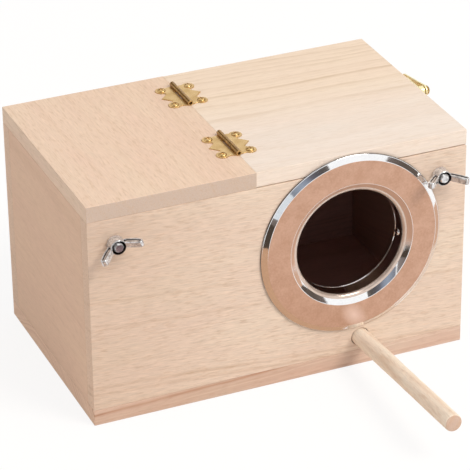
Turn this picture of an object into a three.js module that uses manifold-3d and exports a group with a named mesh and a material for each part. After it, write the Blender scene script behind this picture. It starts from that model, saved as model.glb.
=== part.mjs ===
// Wooden nest box for small cage birds: seven glued boards with a hinged half lid,
// a pressed metal ring round the entrance, a push-in perch, two bolts with wing nuts
// to hang it on cage bars, two brass hinges and a brass hook latch.
// Millimetres. +X runs right along the front, the front faces -Y, +Z is up.
// The origin is the middle of the underside.

import * as THREE from 'three';
import { mergeVertices } from 'three/addons/utils/BufferGeometryUtils.js';
import Module from 'manifold-3d';

const wasm = await Module();
wasm.setup();

// Fits and shared values
const seatGap = 0.3;            // between a piece and the hole or wall cut for it
const cutOverrun = 1;           // how far a cutter runs past the face it opens
const quarterTurn = Math.PI / 2;
const degree = Math.PI / 180;

// The box
const boxLength = 200;
const boxDepth = 120;
const boxHeight = 120;
const boardThick = 8.5;
const boardEase = 0.4;          // sanded edge of every board
const fixedTopLength = 87;      // the part of the top that is glued down
const lidSawGap = 0.4;          // between the fixed top and the lid
const lidSeatGap = 0.4;         // dark seam under the lid
const lidEndGap = 0.3;          // the lid stands this far back from the front and back faces

// The entrance ring, measured out from the front face. It fills the height between
// the perch and the top, and stands clear of the right-hand wing nut.
const ringBelowTop = 1.2;       // rim to the top of the box
const ringAbovePerch = 2.25;    // rim to the top of the perch
const ringToNut = 2.842;        // rim to the foot of the nut
const ringProud = 2.5;
const ringRimLand = 0.5;        // upright edge of the rim
const ringOuterBevel = 2.4;     // width of the bevel outside the flat
const ringInnerBevel = 4.5;     // width of the bevel inside the flat
const ringThroatRadius = 28.6;
const ringThroatDrop = 1;       // the throat starts this far behind the front face
const ringSheet = 0.8;
const ringSteps = 48;
const throatHoleGap = 0.4;
const countersinkGap = 0.4;

// Tacks through the throat of the ring
const tackAngles = [-6, 174];
const tackHeadRadius = 2.1;
const tackHeadHeight = 1;
const tackShankRadius = 0.6;
const tackLength = 5;
const tackFromInside = 2.9;     // from the inner face of the front panel

// The perch
const perchPastRing = 6;        // to the right of the ring's middle
const perchAboveBase = 7.5;     // middle of the perch to the base board
const perchTilt = 4;            // degrees up from square
const perchReach = 102;         // from the front face to the tip
const perchRootRadius = 4.55;
const perchTipRadius = 4.5;
const perchTipEase = 0.8;
const perchHoleGap = 0.4;
const perchSteps = 24;

// Hanging bolts and wing nuts
const boltFromEnd = 14.3;
const boltsLeft = 0.5;          // the pair was drilled this far left of the middle
const boltBelowTop = 21.4;
const boltRadius = 2.5;
const boltLength = 15;          // under the head
const boltEase = 0.5;
const boltHeadRadius = 4.7;
const boltHeadHeight = 3;
const nutBaseRadius = 4.8;
const nutTopRadius = 4;
const nutHeight = 5.6;
const nutBaseLand = 1;
const nutTopEase = 0.4;
const nutSinkRadius = 3.4;      // countersink round the bolt's end
const nutSinkDepth = 0.9;
const wingReach = 11.2;
const wingHeight = 12;
const wingThick = 2.8;
const leftNutTurn = 19;
const rightNutTurn = -5;
const nutSteps = 20;

// Hinges
const hingeLength = 25;
const hingeFromFront = 32.7;    // middle of the front hinge to the front face
const hingeFromBack = 26;
const hingeOffSaw = 0.5;        // the barrels lie this far left of the saw gap
const leafThick = 0.5;
const pinRadius = 0.6;
const pinRecess = 0.8;          // the pin ends this far inside the barrel
const middleKnuckleLength = 9.4;
const leafScrewOut = 7.2;       // from the barrel's axis
const leafScrewAlong = 9;       // from the middle of the barrel
const leafLobeRadius = 3.1;
const leafTipOut = 10.6;
const leafLobeStart = -140;     // degrees round the lobe where its edge begins
const leafLobeEnd = 35;
const barrelSteps = 16;
const pinSteps = 10;
const outlineSteps = 6;

// Round-head wood screws of the hinges and the latch
const screwHeadRadius = 2.1;
const screwHeadHeight = 1;
const screwShankRadius = 1;
const screwLength = 6;
const screwPoint = 1.8;
const screwSteps = 14;

// The latch on the right side
const latchPivotBack = -4.6;    // from the middle, towards the back
const latchPivotDrop = 3.5;     // below the top of the lid
const latchPlateLength = 22;
const latchPlateWidth = 6.4;
const latchPlateBack = -2.6;    // middle of the plate
const latchPlateThick = 0.8;
const latchCornerRadius = 2.4;
const latchScrewInset = 3.4;    // from each end of a plate
const latchBossRadius = 2.6;
const latchBossHeight = 3;
const pivotHeadRadius = 2.5;
const pivotHeadHeight = 1.8;
const pivotShankRadius = 1.2;
const hookThick = 1;
const hookReach = 22;           // from the pivot to the middle of the notch
const hookEyeRadius = 3;
const hookDroop = 10;           // degrees below level at rest
const hookNeckWidth = 4;
const hookLipWidth = 2.2;       // beyond the notch
const hookNeckTurn = 60;        // degrees round the eye where the neck leaves it
const hookSteps = 8;
const pegNeckRadius = 1.2;
const pegHeadRadius = 2;
const pegHeadHeight = 1.1;
const keeperPlateLength = 18;
const keeperPlateWidth = 7;

const inRad = (degrees) => degrees * degree;

// Geometry to solid and back
function toSolid(geometry, matrix) {
  const bare = geometry.clone();
  bare.deleteAttribute('normal');
  bare.deleteAttribute('uv');
  if (matrix) bare.applyMatrix4(matrix);
  const merged = mergeVertices(bare);
  const corners = merged.index.array;
  const kept = [];
  for (let i = 0; i < corners.length; i += 3) {
    const [a, b, c] = [corners[i], corners[i + 1], corners[i + 2]];
    if (a !== b && b !== c && c !== a) kept.push(a, b, c);
  }
  const place = merged.attributes.position;
  const corner = [new THREE.Vector3(), new THREE.Vector3(), new THREE.Vector3()];
  let volume = 0;
  for (let i = 0; i < kept.length; i += 3) {
    corner.forEach((point, k) => point.fromBufferAttribute(place, kept[i + k]));
    volume += corner[0].dot(corner[1].clone().cross(corner[2]));
  }
  if (volume < 0) kept.reverse();
  return new wasm.Manifold(new wasm.Mesh({
    numProp: 3,
    vertProperties: new Float32Array(place.array),
    triVerts: new Uint32Array(kept),
  }));
}

function toGeometry(solid) {
  const mesh = solid.getMesh();
  const geometry = new THREE.BufferGeometry();
  geometry.setAttribute('position', new THREE.BufferAttribute(mesh.vertProperties, 3));
  geometry.setIndex(new THREE.BufferAttribute(mesh.triVerts, 1));
  geometry.computeVertexNormals();
  return geometry;
}

function addMesh(group, name, geometry, material) {
  const mesh = new THREE.Mesh(geometry, material);
  mesh.name = name;
  group.add(mesh);
  return mesh;
}

function metal(color, roughness) {
  return new THREE.MeshStandardMaterial({ color, roughness, metalness: 1 });
}

function wood(color) {
  return new THREE.MeshStandardMaterial({ color, roughness: 0.65, metalness: 0 });
}

// Working planes: x right, y up, z out of the face
const nestBox = new THREE.Group();

const frontFace = new THREE.Group();
frontFace.rotation.x = quarterTurn;
frontFace.position.y = -boxDepth / 2;

const rightFace = new THREE.Group();
rightFace.rotation.set(quarterTurn, 0, quarterTurn, 'ZYX');
rightFace.position.x = boxLength / 2;

const topFace = new THREE.Group();
topFace.position.z = boxHeight;

nestBox.add(frontFace, rightFace, topFace);
nestBox.updateMatrixWorld(true);

// A cutter or a joined form at a place on a working plane
function formOn(face, geometry, x, y, z, turn = new THREE.Quaternion()) {
  const place = new THREE.Matrix4().makeRotationFromQuaternion(turn).setPosition(x, y, z);
  return toSolid(geometry, place.premultiply(face.matrixWorld));
}

// A turned form along z from a profile of [radius, height] points
function turned(profile, steps) {
  const points = profile.map(([radius, height]) => new THREE.Vector2(radius, height));
  return new THREE.LatheGeometry(points, steps).rotateX(quarterTurn);
}

// A flat piece with square edges, from z = 0
function slab(shape, depth, curveSegments) {
  return new THREE.ExtrudeGeometry(shape, { depth, bevelEnabled: false, curveSegments });
}

// A blind or through hole from z = overrun down to z = -depth
function drill(radius, depth, steps = screwSteps) {
  return turned([[0, -depth], [radius, -depth], [radius, cutOverrun], [0, cutOverrun]], steps);
}

// A board between two corners, with sanded edges
function board(low, high) {
  const half = [0, 1, 2].map((k) => (high[k] - low[k]) / 2);
  const [x, y] = half;
  const e = boardEase;
  const outline = new THREE.Shape([
    [-x, e - y], [e - x, -y], [x - e, -y], [x, e - y], [x, y - e], [x - e, y], [e - x, y], [-x, y - e],
  ].map(([px, py]) => new THREE.Vector2(px, py)));
  const geometry = new THREE.ExtrudeGeometry(outline, {
    depth: 2 * (half[2] - e), bevelThickness: e, bevelSize: e, bevelOffset: -e, bevelSegments: 1,
  });
  return geometry.translate(low[0] + x, low[1] + y, low[2] + e);
}

// A screw, tack or peg whose head seats on z = 0
function roundHead(headRadius, headHeight, shankRadius, length, point, steps) {
  const rim = headHeight / 4;
  const profile = [[0, -length], [shankRadius, point - length], [shankRadius, 0], [headRadius, 0]];
  const domeSteps = 4;
  for (let k = 0; k <= domeSteps; k += 1) {
    const angle = (k / domeSteps) * quarterTurn;
    const radius = k === domeSteps ? 0 : headRadius * Math.cos(angle);
    profile.push([radius, rim + (headHeight - rim) * Math.sin(angle)]);
  }
  return turned(profile, steps);
}

const screwGeometry = roundHead(
  screwHeadRadius, screwHeadHeight, screwShankRadius, screwLength, screwPoint, screwSteps,
);
const screwHole = drill(screwShankRadius + seatGap, screwLength + seatGap);

// Shared places
const x0 = boxLength / 2;
const y0 = boxDepth / 2;
const innerY = y0 - boardThick;
const wallTop = boxHeight - boardThick;
const splitX = fixedTopLength - x0;
const hingeX = splitX + lidSawGap / 2 - hingeOffSaw;
const knuckleBore = pinRadius + seatGap;
const knuckleRadius = knuckleBore + leafThick;
const boltReach = x0 - boltFromEnd;
const boltRight = { left: -boltReach - boltsLeft, right: boltReach - boltsLeft };
const boltUp = boxHeight - boltBelowTop;
const perchUp = boardThick + perchAboveBase;
const ringBottom = perchUp + perchRootRadius + ringAbovePerch;
const ringTop = boxHeight - ringBelowTop;
const ringRadius = (ringTop - ringBottom) / 2;
const entranceUp = ringTop - ringRadius;
const nutToEntrance = ringRadius + nutBaseRadius + ringToNut;
const entranceRight = boltRight.right - Math.sqrt(nutToEntrance ** 2 - (boltUp - entranceUp) ** 2);
const perchRight = entranceRight + perchPastRing;
const latchPivotUp = boxHeight - latchPivotDrop;
const pegUp = latchPivotUp - hookReach;
const hookOut = latchPlateThick + latchBossHeight + seatGap;
const hingePlaces = [['hinge_front', hingeFromFront - y0], ['hinge_back', y0 - hingeFromBack]];

// Colours and finishes
const frontWood = wood(0xe6cbb2);
const sideWood = wood(0xd8b698);
const topWood = wood(0xebcfb6);
const lidWood = wood(0xf2dfcb);
const baseWood = wood(0xdfc0a8);
const dowelWood = wood(0xe6c5a8);
const ringMetal = metal(0xd0a48e, 0.2);
const tackMetal = metal(0xc8c8c8, 0.25);
const zinc = metal(0xcfd2d6, 0.22);
const brass = metal(0xd1b076, 0.3);

// Entrance ring: a pressed sheet with a flat between two bevels, and a throat through the wall
const throatOuter = ringThroatRadius + ringSheet;
const flatOuter = ringRadius - ringOuterBevel;
const flatInner = ringThroatRadius + ringInnerBevel;
const innerSlope = Math.atan2(ringProud + ringThroatDrop, ringInnerBevel);
const outerSlope = Math.atan2(ringProud - ringRimLand, ringOuterBevel);
const innerCorner = ringSheet * Math.tan(innerSlope / 2);
const outerCorner = ringSheet * Math.tan(outerSlope / 2);
const throatCorner = ringSheet * Math.tan((quarterTurn - innerSlope) / 2);
const flatBack = ringProud - ringSheet;
const rimInner = flatOuter - outerCorner + flatBack / Math.tan(outerSlope);

const ringProfile = [
  [rimInner, 0],
  [ringRadius, 0],
  [ringRadius, ringRimLand],
  [flatOuter, ringProud],
  [flatInner, ringProud],
  [ringThroatRadius, -ringThroatDrop],
  [ringThroatRadius, -boardThick],
  [throatOuter, -boardThick],
  [throatOuter, -ringThroatDrop - throatCorner],
  [flatInner + innerCorner, flatBack],
  [flatOuter - outerCorner, flatBack],
  [rimInner, 0],
];

const tackUp = tackFromInside - boardThick;
const tackGeometry = roundHead(
  tackHeadRadius, tackHeadHeight, tackShankRadius, tackLength, tackLength / 4, screwSteps,
);
const tackHole = drill(tackShankRadius + seatGap, tackLength + seatGap);
const tackPlaces = tackAngles.map((angle) => {
  const out = new THREE.Vector3(Math.cos(inRad(angle)), Math.sin(inRad(angle)), 0);
  const radius = ringThroatRadius - seatGap;
  const inward = out.clone().negate();
  return {
    x: entranceRight + radius * out.x,
    y: entranceUp + radius * out.y,
    turn: new THREE.Quaternion().setFromUnitVectors(new THREE.Vector3(0, 0, 1), inward),
  };
});
const tackCutters = tackPlaces.map(({ x, y, turn }) => formOn(frontFace, tackHole, x, y, tackUp, turn));

function cutRing() {
  let ring = formOn(frontFace, turned(ringProfile, ringSteps), entranceRight, entranceUp, 0);
  for (const cutter of tackCutters) ring = ring.subtract(cutter);
  return ring;
}

// Perch: a tapered dowel pushed through a hole drilled on its own slant
const perchTurn = new THREE.Quaternion().setFromAxisAngle(new THREE.Vector3(1, 0, 0), -inRad(perchTilt));
const perchGeometry = turned([
  [0, -boardThick],
  [perchRootRadius, -boardThick],
  [perchRootRadius, 0],
  [perchTipRadius, perchReach - perchTipEase],
  [perchTipRadius - perchTipEase, perchReach],
  [0, perchReach],
], perchSteps);
const perchHole = turned([
  [0, -boardThick - cutOverrun],
  [perchRootRadius + perchHoleGap, -boardThick - cutOverrun],
  [perchRootRadius + perchHoleGap, cutOverrun],
  [0, cutOverrun],
], perchSteps);

// Walls, base and top
function cutFrontPanel() {
  const holeRadius = throatOuter + throatHoleGap;
  const sinkWidth = (ringThroatDrop + throatCorner) / Math.tan(innerSlope) + countersinkGap;
  const sinkDepth = sinkWidth * Math.tan(innerSlope);
  const entranceHole = turned([
    [0, -boardThick - cutOverrun],
    [holeRadius, -boardThick - cutOverrun],
    [holeRadius, -sinkDepth],
    [holeRadius + sinkWidth, 0],
    [holeRadius + sinkWidth, cutOverrun],
    [0, cutOverrun],
  ], ringSteps);
  let panel = toSolid(board([-x0, -y0, boardThick], [x0, -innerY, wallTop]));
  panel = panel.subtract(formOn(frontFace, entranceHole, entranceRight, entranceUp, 0));
  panel = panel.subtract(formOn(frontFace, perchHole, perchRight, perchUp, 0, perchTurn));
  const boltHole = drill(boltRadius + seatGap, boardThick + cutOverrun, nutSteps);
  for (const x of Object.values(boltRight)) {
    panel = panel.subtract(formOn(frontFace, boltHole, x, boltUp, 0));
  }
  for (const cutter of tackCutters) panel = panel.subtract(cutter);
  return panel;
}

function cutTop(low, high, side) {
  let top = toSolid(board(low, high));
  for (const [, along] of hingePlaces) {
    for (const end of [-1, 1]) {
      const x = hingeX + side * leafScrewOut;
      top = top.subtract(formOn(topFace, screwHole, x, along + end * leafScrewAlong, leafThick));
    }
  }
  return top;
}

const plateScrewReach = latchPlateLength / 2 - latchScrewInset;
const keeperScrewReach = keeperPlateLength / 2 - latchScrewInset;
const pivotSeat = hookOut + hookThick + seatGap;
const pivotHole = drill(pivotShankRadius + seatGap, pivotSeat + screwLength + seatGap);

function cutLid() {
  const low = [splitX + lidSawGap, lidEndGap - y0, wallTop + lidSeatGap];
  let lid = cutTop(low, [x0, y0 - lidEndGap, boxHeight], 1);
  for (const end of [-1, 1]) {
    const y = latchPlateBack + end * plateScrewReach;
    lid = lid.subtract(formOn(rightFace, screwHole, y, latchPivotUp, latchPlateThick));
  }
  return lid.subtract(formOn(rightFace, pivotHole, latchPivotBack, latchPivotUp, pivotSeat));
}

function cutRightPanel() {
  let panel = toSolid(board([x0 - boardThick, -innerY, boardThick], [x0, innerY, wallTop]));
  for (const end of [-1, 1]) {
    const up = pegUp + end * keeperScrewReach;
    panel = panel.subtract(formOn(rightFace, screwHole, latchPivotBack, up, latchPlateThick));
  }
  return panel.subtract(formOn(rightFace, screwHole, latchPivotBack, pegUp, latchPlateThick));
}

addMesh(nestBox, 'base_board', board([-x0, -y0, 0], [x0, y0, boardThick]), baseWood);
addMesh(nestBox, 'front_panel', toGeometry(cutFrontPanel()), frontWood);
addMesh(nestBox, 'back_panel', board([-x0, innerY, boardThick], [x0, y0, wallTop]), frontWood);
const leftBoard = board([-x0, -innerY, boardThick], [boardThick - x0, innerY, wallTop]);
addMesh(nestBox, 'left_panel', leftBoard, sideWood);
addMesh(nestBox, 'right_panel', toGeometry(cutRightPanel()), sideWood);
const cutFixedTop = cutTop([-x0, -y0, wallTop], [splitX, y0, boxHeight], -1);
addMesh(nestBox, 'fixed_top', toGeometry(cutFixedTop), topWood);
addMesh(nestBox, 'lid', toGeometry(cutLid()), lidWood);
addMesh(nestBox, 'entrance_ring', toGeometry(cutRing()), ringMetal);

tackPlaces.forEach(({ x, y, turn }, k) => {
  const tack = addMesh(frontFace, `ring_tack_${k + 1}`, tackGeometry, tackMetal);
  tack.position.set(x, y, tackUp);
  tack.quaternion.copy(turn);
});

const perch = addMesh(frontFace, 'perch', perchGeometry, dowelWood);
perch.position.set(perchRight, perchUp, 0);
perch.quaternion.copy(perchTurn);

// Hanging hardware: a bolt from inside and a wing nut in front
const boltGeometry = turned([
  [0, -boardThick - boltHeadHeight],
  [boltHeadRadius - boltEase, -boardThick - boltHeadHeight],
  [boltHeadRadius, boltEase - boardThick - boltHeadHeight],
  [boltHeadRadius, -boardThick],
  [boltRadius, -boardThick],
  [boltRadius, boltLength - boardThick - boltEase],
  [boltRadius - boltEase, boltLength - boardThick],
  [0, boltLength - boardThick],
], nutSteps);

// Shares of a wing's reach and height: the start, then three curves round the ear
const earStartShares = [0.24, 0.12];
const earCurveShares = [
  [0.44, 0.22, 0.78, 0.5, 0.97, 0.76],
  [1.04, 0.87, 0.97, 1, 0.82, 1],
  [0.7, 0.95, 0.44, 0.62, 0.22, 0.42],
];
const earSteps = 5;

function makeWingNut() {
  const bore = boltRadius + seatGap;
  const hub = turned([
    [bore, 0],
    [nutBaseRadius, 0],
    [nutBaseRadius, nutBaseLand],
    [nutTopRadius, nutHeight - nutTopEase],
    [nutTopRadius - nutTopEase, nutHeight],
    [nutSinkRadius, nutHeight],
    [bore, nutHeight - nutSinkDepth],
    [bore, 0],
  ], nutSteps);
  const ear = new THREE.Shape();
  ear.moveTo(earStartShares[0] * wingReach, earStartShares[1] * wingHeight);
  for (const curveShares of earCurveShares) {
    ear.bezierCurveTo(...curveShares.map((share, k) => share * (k % 2 ? wingHeight : wingReach)));
  }
  ear.closePath();
  const wing = slab(ear, wingThick, earSteps);
  wing.translate(0, 0, -wingThick / 2).rotateX(quarterTurn);
  const otherWing = wing.clone().rotateZ(Math.PI);
  const bored = turned([
    [0, -cutOverrun],
    [bore, -cutOverrun],
    [bore, nutHeight - nutSinkDepth],
    [nutSinkRadius, nutHeight],
    [nutSinkRadius, wingHeight],
    [0, wingHeight],
  ], nutSteps);
  return toGeometry(toSolid(hub).add(toSolid(wing)).add(toSolid(otherWing)).subtract(toSolid(bored)));
}

const wingNutGeometry = makeWingNut();
for (const [name, turn] of [['left', leftNutTurn], ['right', rightNutTurn]]) {
  const x = boltRight[name];
  addMesh(frontFace, `hanging_bolt_${name}`, boltGeometry, zinc).position.set(x, boltUp, 0);
  const nut = addMesh(frontFace, `wing_nut_${name}`, wingNutGeometry, zinc);
  nut.position.set(x, boltUp, seatGap);
  nut.rotation.z = inRad(turn);
}

// Hinges: a butterfly leaf each side of a rolled barrel that lies on the top
function leafOutline() {
  const half = hingeLength / 2;
  const lobeStart = inRad(leafLobeStart);
  const lobeEnd = inRad(leafLobeEnd);
  const [neckOutShare, neckAlongShare] = [0.46, 0.87];
  const [notchOutShare, notchAlongShare] = [0.74, 0.42];
  const neck = [neckOutShare * leafScrewOut, neckAlongShare * half];
  const notch = [notchOutShare * leafTipOut, notchAlongShare * leafScrewAlong];
  const shape = new THREE.Shape();
  shape.moveTo(0, half);
  shape.lineTo(0, -half);
  shape.quadraticCurveTo(
    neck[0], -neck[1],
    leafScrewOut + leafLobeRadius * Math.cos(lobeStart),
    leafLobeRadius * Math.sin(lobeStart) - leafScrewAlong,
  );
  shape.absarc(leafScrewOut, -leafScrewAlong, leafLobeRadius, lobeStart, lobeEnd, false);
  shape.quadraticCurveTo(notch[0], -notch[1], leafTipOut, 0);
  shape.quadraticCurveTo(
    notch[0], notch[1],
    leafScrewOut + leafLobeRadius * Math.cos(lobeEnd),
    leafScrewAlong - leafLobeRadius * Math.sin(lobeEnd),
  );
  shape.absarc(leafScrewOut, leafScrewAlong, leafLobeRadius, -lobeEnd, -lobeStart, false);
  shape.quadraticCurveTo(neck[0], neck[1], 0, half);
  for (const end of [-1, 1]) {
    const hole = new THREE.Path();
    hole.absarc(leafScrewOut, end * leafScrewAlong, screwShankRadius + seatGap, 0, 2 * Math.PI, true);
    shape.holes.push(hole);
  }
  return shape;
}

// A bar along y on the barrel's axis, between two places
function barrelBar(radius, from, to, steps) {
  const bar = new THREE.CylinderGeometry(radius, radius, to - from, steps);
  return bar.translate(0, (from + to) / 2, knuckleRadius);
}

function makeLeaf(outerKnuckles) {
  const half = hingeLength / 2;
  const middleHalf = middleKnuckleLength / 2;
  const outerFrom = middleHalf + seatGap;
  const flat = slab(leafOutline(), leafThick, outlineSteps);
  const knuckles = outerKnuckles ? [[-half, -outerFrom], [outerFrom, half]] : [[-middleHalf, middleHalf]];
  const reliefs = outerKnuckles
    ? [[-outerFrom, outerFrom]]
    : [[-half - cutOverrun, -middleHalf], [middleHalf, half + cutOverrun]];
  let leaf = toSolid(flat);
  const reliefReach = 2 * (knuckleRadius + seatGap);
  for (const [from, to] of reliefs) {
    const relief = new THREE.BoxGeometry(reliefReach, to - from, reliefReach);
    leaf = leaf.subtract(toSolid(relief.translate(0, (from + to) / 2, 0)));
  }
  for (const [from, to] of knuckles) {
    leaf = leaf.add(toSolid(barrelBar(knuckleRadius, from, to, barrelSteps)));
  }
  const bore = barrelBar(knuckleBore, -half - cutOverrun, half + cutOverrun, barrelSteps);
  return toGeometry(leaf.subtract(toSolid(bore)));
}

const fixedLeafGeometry = makeLeaf(true);
const lidLeafGeometry = makeLeaf(false);
const pinReach = hingeLength / 2 - pinRecess;
const pinGeometry = barrelBar(pinRadius, -pinReach, pinReach, pinSteps);

for (const [name, along] of hingePlaces) {
  const hinge = new THREE.Group();
  hinge.position.set(hingeX, along, 0);
  topFace.add(hinge);
  addMesh(hinge, `${name}_fixed_leaf`, fixedLeafGeometry, brass).rotation.z = Math.PI;
  addMesh(hinge, `${name}_lid_leaf`, lidLeafGeometry, brass);
  addMesh(hinge, `${name}_pin`, pinGeometry, brass);
  let number = 0;
  for (const side of [-1, 1]) {
    for (const end of [-1, 1]) {
      number += 1;
      const screw = addMesh(hinge, `${name}_screw_${number}`, screwGeometry, brass);
      screw.position.set(side * leafScrewOut, end * leafScrewAlong, leafThick);
    }
  }
}

// Latch: a hook that swings on a plate on the lid's edge, and a keeper with a peg below it
function roundedPlate(length, width, holes) {
  const [x, y, r] = [length / 2, width / 2, latchCornerRadius];
  const shape = new THREE.Shape();
  shape.absarc(x - r, r - y, r, -quarterTurn, 0, false);
  shape.absarc(x - r, y - r, r, 0, quarterTurn, false);
  shape.absarc(r - x, y - r, r, quarterTurn, 2 * quarterTurn, false);
  shape.absarc(r - x, r - y, r, 2 * quarterTurn, 3 * quarterTurn, false);
  shape.closePath();
  for (const [centre, radius] of holes) {
    const hole = new THREE.Path();
    hole.absarc(centre, 0, radius, 0, 2 * Math.PI, true);
    shape.holes.push(hole);
  }
  return slab(shape, latchPlateThick, outlineSteps);
}

const plateHole = screwShankRadius + seatGap;
const pivotBore = pivotShankRadius + seatGap;
const pivotOnPlate = latchPivotBack - latchPlateBack;

function makeLatchPlate() {
  const flat = roundedPlate(latchPlateLength, latchPlateWidth, [
    [-plateScrewReach, plateHole], [plateScrewReach, plateHole],
  ]);
  const top = latchPlateThick + latchBossHeight;
  const boss = turned([[0, 0], [latchBossRadius, 0], [latchBossRadius, top], [0, top]], screwSteps);
  const bore = turned([
    [0, -cutOverrun],
    [pivotBore, -cutOverrun],
    [pivotBore, top + cutOverrun],
    [0, top + cutOverrun],
  ], screwSteps);
  boss.translate(pivotOnPlate, 0, 0);
  bore.translate(pivotOnPlate, 0, 0);
  return toGeometry(toSolid(flat).add(toSolid(boss)).subtract(toSolid(bore)));
}

function makeHook() {
  const notchRadius = pegNeckRadius + seatGap;
  const lip = notchRadius + hookLipWidth;
  const half = hookNeckWidth / 2;
  const lipDrop = 2 * notchRadius;
  const shape = new THREE.Shape();
  shape.absarc(0, 0, hookEyeRadius, inRad(hookNeckTurn), -inRad(hookNeckTurn), false);
  shape.lineTo(hookReach - lip, -half);
  shape.lineTo(hookReach - notchRadius, -half);
  shape.absarc(hookReach, 0, notchRadius, Math.PI, 0, true);
  shape.lineTo(hookReach + notchRadius, -lipDrop);
  const lipHalf = hookLipWidth / 2;
  shape.absarc(hookReach + notchRadius + lipHalf, -lipDrop, lipHalf, -Math.PI, 0, false);
  shape.absarc(hookReach, 0, lip, 0, quarterTurn, false);
  shape.lineTo(hookReach - lip, half);
  shape.closePath();
  const eye = new THREE.Path();
  eye.absarc(0, 0, pivotBore, 0, 2 * Math.PI, true);
  shape.holes.push(eye);
  return slab(shape, hookThick, hookSteps);
}

const pivotScrewGeometry = roundHead(
  pivotHeadRadius, pivotHeadHeight, pivotShankRadius, pivotSeat + screwLength, screwPoint, screwSteps,
);

const pegSeat = pivotSeat - latchPlateThick;
const pegGeometry = turned([
  [0, -screwLength],
  [screwShankRadius, screwPoint - screwLength],
  [screwShankRadius, 0],
  [pegNeckRadius, 0],
  [pegNeckRadius, pegSeat],
  [pegHeadRadius, pegSeat],
  [pegHeadRadius, pegSeat + pegHeadHeight / 2],
  [pegNeckRadius, pegSeat + pegHeadHeight],
  [0, pegSeat + pegHeadHeight],
], screwSteps);

addMesh(rightFace, 'latch_plate', makeLatchPlate(), brass).position.set(latchPlateBack, latchPivotUp, 0);
const pivotScrew = addMesh(rightFace, 'latch_pivot_screw', pivotScrewGeometry, brass);
pivotScrew.position.set(latchPivotBack, latchPivotUp, pivotSeat);

const hook = addMesh(rightFace, 'latch_hook', makeHook(), brass);
hook.position.set(latchPivotBack, latchPivotUp, hookOut);
hook.rotation.z = -inRad(hookDroop);

const keeper = addMesh(rightFace, 'keeper_plate', roundedPlate(keeperPlateLength, keeperPlateWidth, [
  [-keeperScrewReach, plateHole], [0, plateHole], [keeperScrewReach, plateHole],
]), brass);
keeper.position.set(latchPivotBack, pegUp, 0);
keeper.rotation.z = quarterTurn;
addMesh(rightFace, 'keeper_peg', pegGeometry, brass).position.set(latchPivotBack, pegUp, latchPlateThick);

for (const [end, side] of [[-1, 'front'], [1, 'back']]) {
  const screw = addMesh(rightFace, `latch_plate_screw_${side}`, screwGeometry, brass);
  screw.position.set(latchPlateBack + end * plateScrewReach, latchPivotUp, latchPlateThick);
}
for (const [end, side] of [[-1, 'lower'], [1, 'upper']]) {
  const screw = addMesh(rightFace, `keeper_screw_${side}`, screwGeometry, brass);
  screw.position.set(latchPivotBack, pegUp + end * keeperScrewReach, latchPlateThick);
}

export default nestBox;
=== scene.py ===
# Wooden nest box for cage birds: the looks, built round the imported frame.
import math
from functools import partial

import bmesh
import bpy
from mathutils import Euler, Matrix, Quaternion, Vector


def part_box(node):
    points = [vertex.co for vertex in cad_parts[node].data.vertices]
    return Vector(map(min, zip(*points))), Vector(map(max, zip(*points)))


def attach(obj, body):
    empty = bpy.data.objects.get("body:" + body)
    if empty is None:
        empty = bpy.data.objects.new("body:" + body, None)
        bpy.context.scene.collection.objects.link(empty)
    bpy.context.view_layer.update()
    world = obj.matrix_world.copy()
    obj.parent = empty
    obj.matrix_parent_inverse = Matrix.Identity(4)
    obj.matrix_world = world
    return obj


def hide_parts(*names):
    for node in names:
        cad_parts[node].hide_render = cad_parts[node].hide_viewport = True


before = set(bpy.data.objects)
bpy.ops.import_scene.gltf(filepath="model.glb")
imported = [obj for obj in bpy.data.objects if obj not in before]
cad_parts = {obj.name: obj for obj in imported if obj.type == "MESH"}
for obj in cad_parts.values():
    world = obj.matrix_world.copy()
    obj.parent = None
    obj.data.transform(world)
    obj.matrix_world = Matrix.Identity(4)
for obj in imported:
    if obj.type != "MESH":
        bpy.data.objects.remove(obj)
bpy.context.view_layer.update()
scene = bpy.context.scene
mm = 0.001


# Camera, at the photograph's place and with its long lens
camera = {
    "place": (-0.466668, -1.106586, 0.703249),
    "target": (0.000786, 0.0, 0.053722),
    "roll": math.radians(-0.7336),
    "lens": 205.736, "sensor": 36,  # mm
}


def addCamera(look):
    data = bpy.data.cameras.new("camera")
    data.lens, data.sensor_width = look["lens"], look["sensor"]
    data.clip_start = 0.05
    made = bpy.data.objects.new("camera", data)
    scene.collection.objects.link(made)
    place = Vector(look["place"])
    aim = (Vector(look["target"]) - place).to_track_quat("-Z", "Y")
    made.location = place
    made.rotation_mode = "QUATERNION"
    made.rotation_quaternion = aim @ Quaternion((0, 0, 1), look["roll"])
    scene.camera = made


addCamera(camera)
print("camera set")


# Materials

def linear(code):
    parts = [int(code[k:k + 2], 16) / 255 for k in (0, 2, 4)]
    return tuple(c / 12.92 if c <= 0.04045 else ((c + 0.055) / 1.055) ** 2.4 for c in parts) + (1,)


def put(tree, kind, inputs=(), **settings):
    # adds one node with its settings. Inputs go by name, or in their order as a list; each is
    # a value, a socket or a node, which stands for its first output in use.
    made = tree.nodes.new(kind if "Node" in kind else f"ShaderNode{kind}")
    for key, value in settings.items():
        setattr(made, key, value)
    if isinstance(inputs, dict):
        pairs = [(made.inputs[key], value) for key, value in inputs.items()]
    else:
        pairs = list(zip([socket for socket in made.inputs if socket.enabled], inputs))
    for socket, value in pairs:
        for item in value if isinstance(value, list) else [value]:
            if isinstance(item, bpy.types.Node):
                item = next(o for o in item.outputs if o.enabled)
            if isinstance(item, bpy.types.NodeSocket):
                tree.links.new(item, socket)
            else:
                socket.default_value = item
    return made


def fillRamp(ramp, stops):
    elements = ramp.color_ramp.elements
    while len(elements) < len(stops):
        elements.new(1.0)
    for element, (position, colour) in zip(elements, stops):
        element.position, element.color = position, colour


def newMaterial(name):
    made = bpy.data.materials.new(name)
    made.use_nodes = True
    made.node_tree.nodes.clear()
    return made, partial(put, made.node_tree)


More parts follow.
